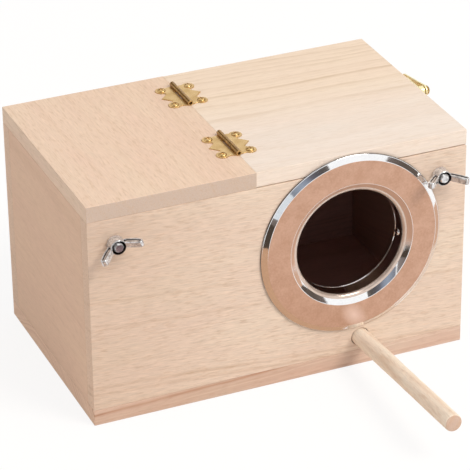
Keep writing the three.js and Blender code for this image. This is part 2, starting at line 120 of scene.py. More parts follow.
# Paulownia, sawn, sanded and left bare: pale and matt, with soft growth rings, short pore
# dashes and fine fibre. Rings are cylinders round a pith line outside the board, so each
# face cuts them as the real one does. "years" are the rings that stand out, as places
# across the grain on the board's face and how dark each one is. All lengths in mm.
woodLooks = {
    "lid": {
        "early": "f5dfc8", "late": "cdaf8c", "flush": "f2d9c6", "flushShare": 0.3,
        "pale": "f4e6da", "driftAcross": 1, "drift": (26, -34),
        "turn": (0, 0, 2.3), "pith": (-30, 50), "face": 120, "faceAcross": 1,
        "years": [(56.7, 0.3), (52.5, 0.26), (48.3, 0.3), (44.2, 0.3), (36.7, 0.34), (27.2, 0.5),
                  (15.8, 0.34), (0.8, 0.24), (-25, 0.12), (-34, 0.12)],
        "ringWidth": 2.6, "ringShare": 0.1, "dashShare": 0.34, "fibreShare": 0.4,
        "end": "e6d6c6", "seed": 3,
    },
    "fixed top": {
        "early": "efd3ba", "late": "d0ae8c", "flush": "eecbb6", "flushShare": 0.5,
        "pale": "efd4bc", "driftAcross": 1, "drift": (30, 100),
        "turn": (0, 0, -91.2), "pith": (190, 40), "face": 120, "faceAcross": 1,
        "years": [(20.5, 0.14), (24, 0.3), (28.5, 0.14), (38, 0.2), (55, 0.16), (64, 0.2), (82, 0.2)],
        "ringWidth": 3.4, "ringShare": 0.07, "dashShare": 0.9, "fibreShare": 0.6,
        "end": "d3bdae", "seed": 11,
    },
    "front": {
        "early": "dfc6b2", "late": "c39d7c", "flush": "e5c8b8", "flushShare": 0.4,
        "pale": "edd8c5", "driftAcross": 0, "drift": (-100, 0),
        "turn": (0, -3.2, 0), "pith": (-24, 168), "face": -60, "faceAcross": 2,
        "years": [(88, 0.1), (61, 0.1), (47, 0.34), (26, 0.14), (13.8, 0.5), (10.6, 0.4)],
        "ringWidth": 3.1, "ringShare": 0.08, "dashShare": 0.75, "fibreShare": 0.9,
        "end": "e8c8b0", "seed": 23,
    },
    "side": {
        "early": "eac7ac", "late": "cfa88a", "flush": "e6c0a8", "flushShare": 0.5,
        "pale": "eac7ac", "driftAcross": 2, "drift": (0, 120),
        "turn": (0, 0, 90), "pith": (60, 190), "face": 100, "faceAcross": 2,
        "years": [(96, 0.2), (70, 0.2), (44, 0.2)],
        "ringWidth": 5.0, "ringShare": 0.12, "dashShare": 0.5, "fibreShare": 0.4,
        "end": "e4c2a9", "seed": 31,
    },
    "base": {
        "early": "dabfab", "late": "bb8c72", "flush": "dcb6a3", "flushShare": 0.6,
        "pale": "e6cfbe", "driftAcross": 0, "drift": (-60, 90),
        "turn": (0, 1.5, 0), "pith": (20, -60), "face": -60, "faceAcross": 2,
        # the year at 8.6 mm darkens the base's top edge along the seam with the front panel: painted shade
        # at the joint
        "years": [(8.6, 0.62), (6.2, 0.4), (3.4, 0.3)],
        "ringWidth": 2.9, "ringShare": 0.3, "dashShare": 0.5, "fibreShare": 0.4,
        "end": "efccb2", "seed": 47,
    },
    "dowel": {
        "early": "fef2e0", "late": "d4ab86", "flush": "fae3ce", "flushShare": 0.6,
        "pale": "fbe9d5", "driftAcross": 2, "drift": (22, 12),
        "turn": (0, 0, 90), "pith": (-6, 60), "face": 43, "faceAcross": 2,
        "years": [(26, 0.3), (17, 0.3)],
        "ringWidth": 2.3, "ringShare": 0.28, "dashShare": 0.6, "fibreShare": 0.8,
        "end": "d8bbaa", "seed": 53,
    },
    "inner": {  # the inside faces are left as sawn and rougher, and painted darker as the shade inside the box
        "early": "b68a80", "late": "967066", "flush": "ae8278", "flushShare": 0.5,
        "pale": "b68a80", "driftAcross": 1, "drift": (-60, 60),
        "turn": (0, 0, 0), "pith": (60, 190), "face": 120, "faceAcross": 1,
        "years": [(0, 0.3), (30, 0.3)],
        "ringWidth": 4.0, "ringShare": 0.4, "dashShare": 0.6, "fibreShare": 0.6,
        "end": "a88070", "seed": 61,
    },
}

# How fast each pattern changes along the grain and across it, per mm. Pores are dashes
# about 6 mm long and 1.1 mm apart. Real fibre is too fine to show, so it is drawn at 0.5 mm.
# A range is where a noise starts to count and where it counts in full. The patches fade a
# year to 0.35 of its dark at most.
grainLooks = {
    "bend": (0.011, 0.03, 0.03), "bendBy": 6, "patch": (0.035, 0.12, 0.12), "flush": (0.014, 0.05, 0.05),
    "pore": (0.17, 0.95, 0.95), "fibre": (0.14, 2.1, 2.1),
    "uneven": (0.3, 2.6),  # how often the rings' width changes, and by how many rings
    "ringStart": 0.3, "ringPeak": 0.86, "ringForce": (0.2, 1.4),  # shares of a ring, and how dark
    "yearInside": 1.9, "yearOutside": 0.6, "margin": 4,
    "patchRange": (0.36, 0.62, 0.35, 1.0), "flushRange": (0.35, 0.65), "endRange": (0.55, 0.9),
    "poreRange": (0.5, 0.72), "poreForce": 0.45, "fibreRange": (0.3, 0.7), "fibreTone": (-0.14, 0.1),
    "gloss": (0.72, 0.58), "deep": 0.05, "lifts": (0.6, -0.5, 0.3),  # of fibre, pores and rings
}


def makeWood(name, look, grain=grainLooks):
    material, add = newMaterial(name)
    place = add("TexCoord")
    turn = tuple(math.radians(a) for a in look["turn"])
    along = Euler(turn).to_matrix().inverted() @ Vector((1, 0, 0))
    scaled = add("Mapping", [place.outputs["Object"], (0, 0, 0), turn, (1 / mm,) * 3])
    shifted = add("VectorMath", [scaled, (look["seed"] * 17.0, 0, 0)], operation="ADD")

    def streaks(source, pattern, detail, rough=0.5):
        paced = add("VectorMath", [source, grain[pattern]], operation="MULTIPLY")
        return add("TexNoise", [paced, 1.0, detail, rough])

    # the tree's slow bends, then the distance from its pith
    reach = grain["bendBy"]
    bend = add("VectorMath", [
        streaks(shifted, "bend", 4.0).outputs["Color"], (0, reach, reach), (0, -reach / 2, -reach / 2),
    ], operation="MULTIPLY_ADD")
    bent = add("VectorMath", [shifted, bend], operation="ADD")
    fromPith = add("VectorMath", [bent, (0, -look["pith"][0], -look["pith"][1])], operation="ADD")
    across = add("VectorMath", [fromPith, (0, 1, 1)], operation="MULTIPLY")
    radius = add("VectorMath", [across], operation="LENGTH")

    # faint rings of uneven width, each darkening towards its outer edge
    pace = add("Math", [radius, grain["uneven"][0] / look["ringWidth"]], operation="MULTIPLY")
    uneven = add("TexNoise", [pace, 1.0, 1.0], noise_dimensions="1D")
    phase = add("Math", [radius, 1 / look["ringWidth"]], operation="MULTIPLY")
    phase = add("Math", [uneven, grain["uneven"][1], phase], operation="MULTIPLY_ADD")
    share = add("Math", [phase], operation="FRACT")
    count = add("Math", [phase], operation="FLOOR")
    vigour = add("TexWhiteNoise", [count], noise_dimensions="1D")
    start, peak = grain["ringStart"], grain["ringPeak"]
    rise = add("MapRange", [share, start, peak], interpolation_type="SMOOTHERSTEP")
    fall = add("MapRange", [share, peak, 1.0, 1.0, 0.0], interpolation_type="SMOOTHSTEP")
    faint = add("Math", [rise, fall], operation="MULTIPLY")
    forces = [force * look["ringShare"] for force in grain["ringForce"]]
    force = add("MapRange", [vigour, 0.0, 1.0, *forces])
    faint = add("Math", [faint, force], operation="MULTIPLY")

    # the years that stand out, each with a soft inner side and a crisper outer side
    deep, flat = look["pith"] if look["faceAcross"] == 2 else look["pith"][::-1]
    radii = sorted((math.hypot(spot - flat, look["face"] - deep), dark) for spot, dark in look["years"])
    first, last = radii[0][0] - grain["margin"], radii[-1][0] + grain["margin"]
    stops = []
    for spot, dark in radii:
        before = spot - grain["yearInside"]
        if stops and stops[-1][0] > before:
            before = (stops[-1][0] + spot) / 2
        stops += [(before, 0), (spot, dark), (spot + grain["yearOutside"], 0)]
    years = add("ValToRGB", [add("MapRange", [radius, first, last])])
    scale = last - first
    fillRamp(years, [((spot - first) / scale, (dark, dark, dark, 1)) for spot, dark in sorted(stops)])
    patches = add("MapRange", [streaks(shifted, "patch", 3.0), *grain["patchRange"]])
    bold = add("Math", [years, patches], operation="MULTIPLY")
    rings = add("Math", [faint, bold], operation="ADD", use_clamp=True)

    # pores, fibre, a slow flush of pink, a drift of colour across the board, and sawn ends
    pore = add("MapRange", [streaks(bent, "pore", 3.0, 0.55), *grain["poreRange"]],
               interpolation_type="SMOOTHSTEP")
    poreShare = add("Math", [pore, grain["poreForce"] * look["dashShare"]], operation="MULTIPLY")
    fibre = streaks(bent, "fibre", 4.0, 0.6)
    flush = streaks(shifted, "flush", 3.0)
    flush = add("MapRange", [flush, *grain["flushRange"], 0.0, look["flushShare"]])
    axes = add("SeparateXYZ", [scaled])
    drift = add("MapRange", [axes.outputs[look["driftAcross"]], *look["drift"]],
                interpolation_type="SMOOTHSTEP")
    facing = add("VectorMath", [place.outputs["Normal"], along], operation="DOT_PRODUCT")
    facing = add("Math", [facing], operation="ABSOLUTE")
    end = add("MapRange", [facing, *grain["endRange"]], interpolation_type="SMOOTHSTEP")
    tone = linear(look["early"])
    layers = (drift, "pale"), (flush, "flush"), (end, "end"), (rings, "late"), (poreShare, "late")
    for share, code in layers:
        tone = add("Mix", [share, tone, linear(look[code])], data_type="RGBA")
    tones = [1 + change * look["fibreShare"] for change in grain["fibreTone"]]
    light = add("MapRange", [fibre, *grain["fibreRange"], *tones])
    tone = add("VectorMath", [tone, light], operation="SCALE")

    height = 0.0
    for pattern, lift in zip((fibre, pore, rings), grain["lifts"]):
        height = add("Math", [pattern, lift, height], operation="MULTIPLY_ADD")
    bump = add("Bump", {"Height": height, "Distance": grain["deep"] * mm, "Strength": 0.5})
    gloss = add("MapRange", [fibre, 0.0, 1.0, *grain["gloss"]])
    surface = add("BsdfPrincipled", {
        "Base Color": tone, "Roughness": gloss, "IOR": 1.45, "Specular IOR Level": 0.3, "Normal": bump,
    })
    add("OutputMaterial", [surface])
    return material


woods = {name: makeWood(f"sanded paulownia, {name}", look) for name, look in woodLooks.items()}


# Metals. Each has a slow change of gloss from handling and a fine surface grain, in mm.
metalLooks = {
    "mirror steel": {  # stainless, polished bright: a clear mirror with faint rubbing
        "tint": "fbfbfb", "dull": "f4f4f5", "roughness": (0.04, 0.09), "metallic": 1.0,
        "slow": 9, "grain": 1.2, "bump": 0.001,
    },
    "inner bevel steel, painted rose above": {  # the inner bevel: polished below, with a rosy satin painted on where it turns up, as a warm reflection
        "tint": "fbfbfb", "dull": "f4f4f5", "roughness": (0.04, 0.09), "metallic": 1.0,
        "slow": 9, "grain": 1.2, "bump": 0.001, "paintedRose": ("cda58e", (60, 68), 0.4, 0.2),
    },
    "lip steel, painted rose reflection": {  # the ring's rolled lip: as rosy as the flat, a painted warm reflection, but smoother and half mirror
        "tint": "dccbc0", "dull": "cfbaad", "roughness": (0.14, 0.24), "metallic": 0.5,
        "slow": 9, "grain": 1.2, "bump": 0.001,
    },
    "satin steel, painted rose reflection": {  # the flat of the ring: the same steel, brushed to satin, with a rosy tint painted on as the warm reflection it shows
        "tint": "cea48d", "dull": "c0957c", "roughness": (0.34, 0.46), "metallic": 0.08,
        "slow": 7, "grain": 0.9, "bump": 0.006, "paintedHighlight": ("ecccbd", (38.4, -62.5, 31), (10, 6, 6), 50),
    },
    "rim underside steel, painted shade": {  # the ring's cut edge under its rim: never polished, and painted dark as the shade where the rim meets the panel
        "tint": "6e5f56", "dull": "51453f", "roughness": (0.35, 0.5), "metallic": 0.5,
        "slow": 4, "grain": 0.5, "bump": 0.01,
    },
    "bright zinc": {  # cast steel, zinc plated: bright, a little uneven from the mould, with painted shade in its hollows and round the bolt
        "tint": "fafafb", "dull": "aeacae", "roughness": (0.07, 0.22), "metallic": 0.64,
        "slow": 2, "grain": 0.8, "bump": 0.07, "dirt": "2a2220",
    },
    "left bolt end, painted shade": {  # the left bolt's cut end: matt, with the plating thin, and painted darker and mauve as the shade on it; the right end stays bright zinc
        "tint": "8f7a7f", "dull": "5d4d51", "roughness": (0.5, 0.65), "metallic": 0.2,
        "slow": 1.4, "grain": 0.5, "bump": 0.05,
    },
    "satin brass": {  # pressed sheet, brass plated: golden and satin, browner where worn
        "tint": "e3c189", "dull": "cba668", "roughness": (0.24, 0.38), "metallic": 0.9,
        "slow": 5, "grain": 0.5, "bump": 0.008,
    },
    "latch brass, painted light": {  # the latch, out of the light on its side: painted paler and yellower than the other brass, as painted light there
        "tint": "fff5cb", "dull": "f7e8b2", "roughness": (0.2, 0.32), "metallic": 0.6,
        "slow": 5, "grain": 0.5, "bump": 0.004,
    },
    "barrel brass, painted dark": {  # the barrels: drawn tight in rolling, so brighter, and browner in the seam; their tint is painted darker, as the dark reflections on their round sides
        "tint": "b58d52", "dull": "8f6a38", "roughness": (0.16, 0.28), "metallic": 0.7,
        "slow": 4, "grain": 0.5, "bump": 0.004,
    },
}


def makeMetal(name, look):
    material, add = newMaterial(name)
    where = add("TexCoord").outputs["Object"]
    slow, grain = (add("TexNoise", {"Vector": where, "Scale": 1 / (look[size] * mm), "Detail": detail})
                   for size, detail in (("slow", 3.0), ("grain", 4.0)))
    wear = add("Math", [slow, grain], operation="ADD")
    wear = add("MapRange", [wear, 0.75, 1.25])
    gloss = add("MapRange", [wear, 0.0, 1.0, *look["roughness"]])
    metallic = look["metallic"]
    coats = [(wear, look["dull"])]
    if "paintedHighlight" in look:  # a paler patch on the flat above the perch: a painted highlight
        pale, middle, reach, lean = look["paintedHighlight"]
        spot = add("Mapping", [
            where, tuple(c * mm for c in middle), (0, math.radians(lean), 0), tuple(r * mm for r in reach),
        ], vector_type="TEXTURE")
        spot = add("TexGradient", [spot], gradient_type="SPHERICAL")
        coats.append((spot.outputs[1], pale))
    # painted shade, as much as the mesh's attribute gives
    if "dirt" in look:
        coats.append((add("Attribute", attribute_name="dirt").outputs["Fac"], look["dirt"]))
    if "paintedRose" in look:  # painted reflection: rosy and satin above the first height, fully from the second
        colour, (low, high), satin, metalShare = look["paintedRose"]
        height = add("SeparateXYZ", [where]).outputs["Z"]
        paintedRose = add("MapRange", [height, low * mm, high * mm], interpolation_type="SMOOTHSTEP")
        coats.append((paintedRose, colour))
        gloss = add("Mix", [paintedRose, gloss, satin])
        metallic = add("MapRange", [paintedRose, 0.0, 1.0, metallic, metalShare])
    tone = linear(look["tint"])
    for share, code in coats:
        tone = add("Mix", [share, tone, linear(code)], data_type="RGBA")
    bump = add("Bump", {"Height": grain, "Distance": look["bump"] * mm, "Strength": 1.0})
    surface = add("BsdfPrincipled", {
        "Base Color": tone, "Metallic": metallic, "Roughness": gloss, "Normal": bump,
    })
    add("OutputMaterial", [surface])
    return material


metals = {name: makeMetal(name, look) for name, look in metalLooks.items()}
print("materials made")


# Mesh helpers: a piece's place is in its mesh, in metres

def newPiece(name, mesh, *materials, place=Matrix()):
    mesh.transform(place)
    made = bpy.data.objects.new(name, mesh)
    scene.collection.objects.link(made)
    made.data.materials.clear()
    for material in materials:
        made.data.materials.append(material)
    return made


def newMesh(name, bm):
    mesh = bpy.data.meshes.new(name)
    bm.to_mesh(mesh)
    bm.free()
    return mesh


def bake(piece):
    # turns the modifiers' result into the piece's own mesh
    bpy.context.view_layer.update()
    result = bpy.data.meshes.new_from_object(piece.evaluated_get(bpy.context.evaluated_depsgraph_get()))
    piece.modifiers.clear()
    piece.data = result


def settle(piece, body, slot, *replaced, angle=40):
    # rounded edges shade as round and large faces as flat; then the piece goes on its body
    piece.data.shade_smooth()
    piece.data.set_sharp_from_angle(angle=math.radians(angle))
    piece.modifiers.new("weigh", "WEIGHTED_NORMAL").keep_sharp = True
    bake(piece)
    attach(piece, body)
    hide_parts(*replaced)


def combine(piece, others, operation="DIFFERENCE"):
    for other in others:
        change = piece.modifiers.new(operation, "BOOLEAN")
        change.operation, change.solver, change.object = operation, "EXACT", other
    bake(piece)
    for other in others:
        bpy.data.objects.remove(other)


def at(x, y, z):
    return Matrix.Translation((x * mm, y * mm, z * mm))


def block(low, high):
    bm = bmesh.new()
    bmesh.ops.create_cube(bm, size=1)
    for v in bm.verts:
        v.co = [(low[k] if v.co[k] < 0 else high[k]) * mm for k in range(3)]
    return bm


def spin(name, profile, steps):
    # a closed turned form round z from (radius, height) points in mm. A radius of 0 is a
    # pole, and a list of radii is a ring that isn't round.
    bm = bmesh.new()
    rings = []
    for radius, height in profile:
        if radius == 0:
            rings.append([bm.verts.new((0, 0, height * mm))] * steps)
            continue
        rings.append([])
        for k in range(steps):
            out = (radius[k] if isinstance(radius, list) else radius) * mm
            angle = 2 * math.pi * k / steps
            rings[-1].append(bm.verts.new((out * math.cos(angle), out * math.sin(angle), height * mm)))
    pairs = list(zip(rings, rings[1:]))
    if profile[0][0] and profile[-1][0]:
        pairs.append((rings[-1], rings[0]))
    for low, high in pairs:
        for k in range(steps):
            corners = [low[k], low[(k + 1) % steps], high[(k + 1) % steps], high[k]]
            corners = list(dict.fromkeys(corners))
            if len(corners) > 2:
                bm.faces.new(corners)
    bmesh.ops.recalc_face_normals(bm, faces=bm.faces)
    return newMesh(name, bm)


def eased(profile, steps=4):
    # rounds each corner of a profile of (radius, height, ease) points in mm
    points = [Vector(p[:2]) for p in profile]
    out = [tuple(points[0])]
    for k in range(1, len(points) - 1):
        ease = profile[k][2] if len(profile[k]) > 2 else 0
        here = points[k]
        if not ease:
            out.append(tuple(here))
            continue
        back, on = points[k - 1] - here, points[k + 1] - here
        reach = min(ease, back.length * 0.45, on.length * 0.45)
        out += curved(here + back.normalized() * reach, here, here + on.normalized() * reach, steps)
    out.append(tuple(points[-1]))
    return out


def curved(start, pull, end, steps):
    start, pull, end = Vector(start), Vector(pull), Vector(end)
    return [tuple(start * (1 - t) ** 2 + pull * 2 * t * (1 - t) + end * t ** 2)
            for t in [i / steps for i in range(steps + 1)]]


def arc(x, y, radius, start, end, steps):
    angles = [math.radians(start + (end - start) * k / steps) for k in range(steps + 1)]
    return [(x + radius * math.cos(a), y + radius * math.sin(a)) for a in angles]


def roundHole(x, y, radius, steps=16):
    return arc(x, y, radius, 0, 360 - 360 / steps, steps - 1)


def rod(radius, low, high):
    return [(0, low), (radius, low), (radius, high), (0, high)]


def plate(name, outlines, thick, edge):
    # a flat piece with rounded edges from z = 0, from closed outlines in mm; the first is the outside
    curve = bpy.data.curves.new(name, "CURVE")
    curve.dimensions, curve.fill_mode = "2D", "BOTH"
    for outline in outlines:
        spline = curve.splines.new("POLY")
        spline.points.add(len(outline) - 1)
        spline.use_cyclic_u = True
        for point, (x, y) in zip(spline.points, outline):
            point.co = (x * mm, y * mm, 0, 1)
    curve.extrude, curve.offset = (thick / 2 - edge) * mm, -edge * mm
    curve.bevel_depth, curve.bevel_resolution = edge * mm, 2
    holder = bpy.data.objects.new(name, curve)
    scene.collection.objects.link(holder)
    bpy.context.view_layer.update()
    mesh = bpy.data.meshes.new_from_object(holder)
    bpy.data.objects.remove(holder)
    bm = bmesh.new()
    bm.from_mesh(mesh)
    bmesh.ops.remove_doubles(bm, verts=bm.verts, dist=0.002 * mm)
    bmesh.ops.recalc_face_normals(bm, faces=bm.faces)
    bmesh.ops.translate(bm, verts=bm.verts, vec=(0, 0, thick * mm / 2))
    return newMesh(name, bm)


# Working planes: x right, y up, z out of the face
onFront = at(0, -60, 0) @ Matrix.Rotation(math.pi / 2, 4, "X")
onRight = at(100, 0, 0) @ Matrix(((0, 0, 1, 0), (1, 0, 0, 0), (0, 1, 0, 0), (0, 0, 0, 1)))
onTop = at(0, 0, 120)

# All in mm. "edgeIn" is where the ring's cut edge starts, in from its radius and up, and "hem"
# the back end of its throat as (out, up, ease). The perch's "waves" are (depth, pace, start).
# A bolt's "head" is the nearly flat middle of its head, and "endRings" are shares of its
# radius and of the hollow in its end.
ring = {
    "place": (37, 70.8), "radius": 48, "proud": 2.5, "outerBevel": 2.4, "flatInner": 33.1,
    "innerBevel": 2.5, "innerDrop": 1.66, "lip": 2.0, "lipDrop": 1.75, "sheet": 0.8, "wall": 8.5,
    "bead": 0.5, "beadUp": 0.05, "beadTurn": (-30, 95), "shadeShare": 0.62, "edgeIn": (0.6, 0.3),
    "eases": (0.22, 0.2), "hem": [(0, 0.9, 0.2), (-0.4, 0.45, 0.25), (0, 0, 0.2)], "steps": 192,
    "seat": [(0, -10), (29.8, -10), (29.8, -2.1), (32.5, 0), (32.5, 2), (0, 2)],  # cut for it in the panel
}
perch = {
    "place": (43, 16), "tilt": 4, "root": 4.55, "tip": 4.5, "reach": 102, "wall": 8.5, "hole": 4.95,
    "ease": 0.8, "rootEase": 0.4, "thin": 0.05, "waves": ((0.05, 9, 0), (0.03, 23, 1)),
    "rows": 28, "steps": 64,
}
bolts = {
    "places": {"left": (-86.2, 98.6), "right": (85.2, 98.6)}, "radius": 2.5, "hole": 2.8, "wall": 8.5,
    "length": 15, "headRadius": 4.7, "headHeight": 3, "head": (3.2, 0.15), "pitch": 0.8, "rowHeight": 0.1,
    "threadDeep": 0.35, "plain": 1, "fadeIn": 2, "endEase": 0.8, "endSlope": 0.75, "hollow": 0.12,
    "endRings": ((0.94, 0), (0.6, 0.8)), "steps": 48,
    # the left bolt's end is painted darker, as shade
    "ends": {"left": "left bolt end, painted shade", "right": "bright zinc"},
}
perchTurn = Matrix.Rotation(-math.radians(perch["tilt"]), 4, "X")


# Boards: planed and sanded, with edges eased by hand. The inside is left as sawn, and painted darker as
# shade.
boards = {
    "ease": 0.4, "seamEase": 0.05, "seam": (-13.2, -12.4), "cutDepth": (-10, 3),
    "closer": 0.35,  # the lid reaches this far into the clearance at the fixed top
    "inside": ((-91.7, -51.7, 8.3), (91.7, 51.7, 111.7)),
    "woods": {  # the wood and the slot of each
        "base_board": ("base", "base_wood"), "front_panel": ("front", "wall_wood"),
        "back_panel": ("front", "wall_wood"), "left_panel": ("side", "side_wood"),
        "right_panel": ("side", "side_wood"), "fixed_top": ("fixed top", "top_wood"),
        "lid": ("lid", "lid_wood"),
    },
}


def makeBoard(name, look):
    low, high = ([c / mm for c in corner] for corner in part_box(name))
    if name == "lid":
        low[0] -= look["closer"]
    bm = block(low, high)
    # cut where the walls meet, so that the sawn inside can have its own material, painted darker as shade
    for axis in range(3):
        for edge in (corner[axis] for corner in look["inside"]):
            if low[axis] + 1 < edge < high[axis] - 1:
                spot, normal = Vector((0, 0, 0)), Vector((0, 0, 0))
                spot[axis], normal[axis] = edge * mm, 1
                everything = bm.verts[:] + bm.edges[:] + bm.faces[:]
                bmesh.ops.bisect_plane(bm, geom=everything, dist=1e-6, plane_co=spot, plane_no=normal)
    # the edges along the seam stay crisper than the others
    start, finish = look["seam"]
    for atSeam, ease, segments in ((False, look["ease"], 3), (True, look["seamEase"], 2)):
        edges = [e for e in bm.edges if e.calc_face_angle(0) > 1
                 and all(start < v.co.x / mm < finish for v in e.verts) == atSeam]
        if edges:
            bmesh.ops.bevel(bm, geom=edges, offset=ease * mm, segments=segments, profile=0.5,
                            affect="EDGES")
    wood, _ = look["woods"][name]
    return newPiece(f"{name}_wood", newMesh(f"{name}_wood", bm), woods[wood], woods["inner"])


def makeHole(profile, steps, place, turn=Matrix()):
    return newPiece("hole", spin("hole", profile, steps), place=onFront @ at(*place, 0) @ turn)


def makeBoards(look):
    made = {name: makeBoard(name, look) for name in look["woods"]}
    holes = [
        makeHole(ring["seat"], ring["steps"], ring["place"]),
        makeHole(rod(perch["hole"], *look["cutDepth"]), perch["steps"], perch["place"], perchTurn),
    ]
    for place in bolts["places"].values():
        holes.append(makeHole(rod(bolts["hole"], *look["cutDepth"]), bolts["steps"], place))
    combine(made["front_panel"], holes)
    low, high = look["inside"]
    for name, piece in made.items():
        for face in piece.data.polygons:
            centre = face.center / mm
            # the inside faces take the wood painted darker as shade
            if all(low[k] < centre[k] < high[k] for k in range(3)):
                face.material_index = 1
        settle(piece, "lid" if name == "lid" else "box", look["woods"][name][1], name)


makeBoards(boards)
print("boards made")


# Entrance ring: one pressed sheet, satin on its flat, polished on its bevels, with a rolled lip
def makeRing(look):
    radius, proud, wall, sheet = look["radius"], look["proud"], look["wall"], look["sheet"]
    outer, inner = radius - look["outerBevel"], look["flatInner"]
    lipOut, lipTop = inner - look["innerBevel"], proud - look["innerDrop"]
    throat, lipFoot = lipOut - look["lip"], lipTop - look["lipDrop"]
    bead, beadMiddle = look["bead"], look["bead"] + look["beadUp"]
    front = [(radius - look["edgeIn"][0], look["edgeIn"][1])]
    front += arc(radius, beadMiddle, bead, *look["beadTurn"], 10)
    front += eased([
        front[-1], (outer, proud, look["eases"][0]), (inner, proud, look["eases"][1]), (lipOut, lipTop),
    ], 5)[1:]
    for k in range(1, 9):
        t = math.radians(90 * k / 8)
        front.append((throat + look["lip"] * (1 - math.sin(t)), lipFoot + look["lipDrop"] * math.cos(t)))
    hem = [(throat + out, up - wall, ease) for out, up, ease in look["hem"]]
    front += eased([front[-1], *hem, (throat + sheet, -wall)], 4)[1:]
    # the sheet's back, which nobody sees
    back = [(throat + sheet, lipFoot - 0.5), (inner + 0.3, proud - sheet), (outer - 0.3, proud - sheet)]
    mesh = spin("entrance_ring_metal", front + back, look["steps"])
    finishes = ("mirror steel", "satin steel, painted rose reflection", "lip steel, painted rose reflection", "inner bevel steel, painted rose above", "rim underside steel, painted shade")
    piece = newPiece("entrance_ring_metal", mesh, *[metals[name] for name in finishes])
    for face in mesh.polygons:
        out, up = face.center.xy.length / mm, face.center.z / mm
        if face.normal.z > 0.995 and up > proud - 0.02:
            face.material_index = 1
        elif lipFoot < up < lipTop and out < lipOut:
            face.material_index = 2
        elif up > lipTop and out < inner:
            face.material_index = 3
        # the rim's underside takes the painted shade
        elif 0 < up < beadMiddle + look["shadeShare"] * bead and out > radius - 0.7:
            face.material_index = 4
    mesh.transform(onFront @ at(*look["place"], 0))
    settle(piece, "box", "ring_steel", "entrance_ring", angle=50)


makeRing(ring)
print("ring made")


# Perch: a turned dowel, straight, with a slightly uneven side and an eased end
def makePerch(look):
    root, tip, ease, foot = look["root"], look["tip"], look["ease"], -look["wall"]
    profile = [(0, foot), (root - look["rootEase"], foot), (root, foot + look["rootEase"])]
    for k in range(look["rows"] + 1):
        t = k / look["rows"]
        sway = sum(deep * math.sin(pace * t + start) for deep, pace, start in look["waves"])
        radius = root + (tip - root) * t - look["thin"] + sway * math.sin(math.pi * t)
        profile.append((radius, (look["reach"] - ease) * t))
    profile += [(tip - 0.3, look["reach"] - 0.25), (tip - ease, look["reach"]), (0, look["reach"])]
    mesh = spin("perch_dowel", profile, look["steps"])
    place = onFront @ at(*look["place"], 0) @ perchTurn
    settle(newPiece("perch_dowel", mesh, woods["dowel"], place=place), "perch", "dowel_wood", "perch")


makePerch(perch)
print("perch made")


# Hanging bolts: M5 with a rolled thread, a round head inside and a slightly hollow cut end outside
def makeBolt(look):
    steps, wall, radius = look["steps"], look["wall"], look["radius"]
    top, foot = look["length"] - wall, -wall - look["headHeight"]
    footRadius, footUp = look["head"]
    head = eased([
        (0, foot), (footRadius, foot + footUp, 0.4), (look["headRadius"], foot + 1, 1.6),
        (look["headRadius"], -wall, 0.3), (radius, -wall),
    ], 5)

    def threaded(height):
        cap = radius - look["endSlope"] * max(0, look["endEase"] - (top - height))
        deep = look["threadDeep"] * min(1, max(0, (height + wall - look["plain"]) / look["fadeIn"]))
        turns = [(height / look["pitch"] - k / steps) % 1 for k in range(steps)]
        return [min(radius - deep * (1 - abs(2 * turn - 1)), cap) for turn in turns]

    count = round(look["length"] / look["rowHeight"])
    heights = [look["length"] * row / count - wall for row in range(count + 1)]
    rows = [(threaded(height), height) for height in heights]
    last, hollow = rows[-1][0], look["hollow"]
    end = [([r * share for r in last], top - hollow * sink) for share, sink in look["endRings"]]
    return spin("hanging_bolt", head[:-1] + rows + end + [(0, top - hollow)], steps)


# Wing nuts: cast with two hollowed ears, then plated. The bore is cut after casting. Each
# row of "earShares" is one curve of the ear's edge: two pulls and its end, in shares of
# the ear's reach and rise.
wingNut = {
    "turns": {"left": 19, "right": -5}, "off": 0.3, "baseRadius": 4.3, "baseLand": 0.6, "topRadius": 3.9,
    "height": 5.5, "sinkRadius": 3.45, "sinkDeep": 1.5, "reach": 11.2, "rise": 11.9, "thick": 3.4,
    "earEdge": 0.5, "rim": 0.9, "pocket": 0.55, "pocketEdge": 0.2, "voxel": 0.18, "polish": (0.5, 5),
    "hollow": (0.003, 0.008), "spread": 2, "earStart": (0.24, 0.12),
    "earShares": [(0.44, 0.22, 0.78, 0.5, 0.97, 0.76), (1.04, 0.87, 0.97, 1, 0.82, 1),
                  (0.7, 0.95, 0.44, 0.62, 0.22, 0.42)],
}


def earOutline(look, inset):
    # the ear in its own plane, out and up, drawn in from its edge by the inset
    points = []
    start = look["earStart"]
    for x1, y1, x2, y2, x3, y3 in look["earShares"]:
        for t in [k / 12 for k in range(1, 13)]:
            x, y = (
                start[i] * (1 - t) ** 3 + 3 * a * t * (1 - t) ** 2 + 3 * b * t * t * (1 - t) + c * t ** 3
                for i, (a, b, c) in enumerate(((x1, x2, x3), (y1, y2, y3)))
            )
            points.append(Vector((x * look["reach"], y * look["rise"])))
        start = (x3, y3)
    if not inset:
        return [tuple(p) for p in points]
    out = []
    for k, here in enumerate(points):
        way = (points[(k + 1) % len(points)] - points[k - 1]).normalized()
        out.append(here + Vector((-way.y, way.x)) * inset)
    return [tuple(p) for p in out if all((p - q).length > inset * 0.98 for q in points)]


